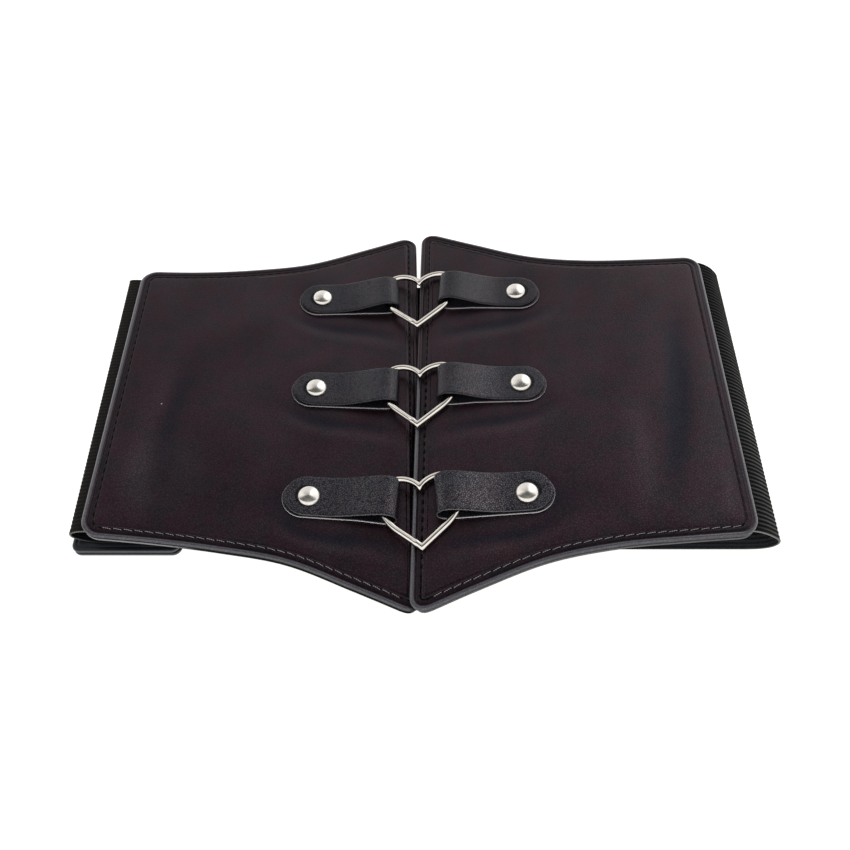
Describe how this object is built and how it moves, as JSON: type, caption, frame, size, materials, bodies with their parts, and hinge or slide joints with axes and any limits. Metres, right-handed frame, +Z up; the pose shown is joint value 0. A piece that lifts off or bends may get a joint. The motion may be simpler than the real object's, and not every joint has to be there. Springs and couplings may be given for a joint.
{
  "type": "elastic waist belt",
  "caption": "Wide corset-style waist belt with flared faux-leather front panels, riveted tabs linked by heart rings, and a folded elastic back with a fastened placket.",
  "frame": {"origin": "on the flat underside of the elastic's lower run, under the front seam at the belt's mid height", "axes": "+X along the girth towards the wearer's left, +Y up the wearer's body, +Z up from the surface that the folded belt lies on, its front uppermost"},
  "size_m": [0.3218, 0.2275, 0.0255],
  "materials": {
    "face_leather": "fine pebble grain, soft sheen",
    "tab_leather": "pebble grain, semi-matte",
    "placket_leather": "fine grain, semi-matte",
    "backing_felt": "matte knitted lining",
    "woven_elastic": "matte ribbed weave",
    "hook_tape": "matte hook and loop tape",
    "nickel": "polished, slightly warm"
  },
  "bodies": {
    "root": {"front_panel_left": "face_leather", "panel_backing_left": "backing_felt", "front_panel_right": "face_leather", "panel_backing_right": "backing_felt", "elastic_left": "woven_elastic", "elastic_right": "woven_elastic", "placket_outer": "placket_leather", "placket_inner": "placket_leather", "placket_fastener": "hook_tape", "tab_top_left": "tab_leather", "rivet_top_left": "nickel", "tab_top_right": "tab_leather", "rivet_top_right": "nickel", "tab_middle_left": "tab_leather", "rivet_middle_left": "nickel", "tab_middle_right": "tab_leather", "rivet_middle_right": "nickel", "tab_bottom_left": "tab_leather", "rivet_bottom_left": "nickel", "tab_bottom_right": "tab_leather", "rivet_bottom_right": "nickel", "heart_ring_top": "nickel", "heart_ring_middle": "nickel", "heart_ring_bottom": "nickel"}
  },
  "joints": []
}
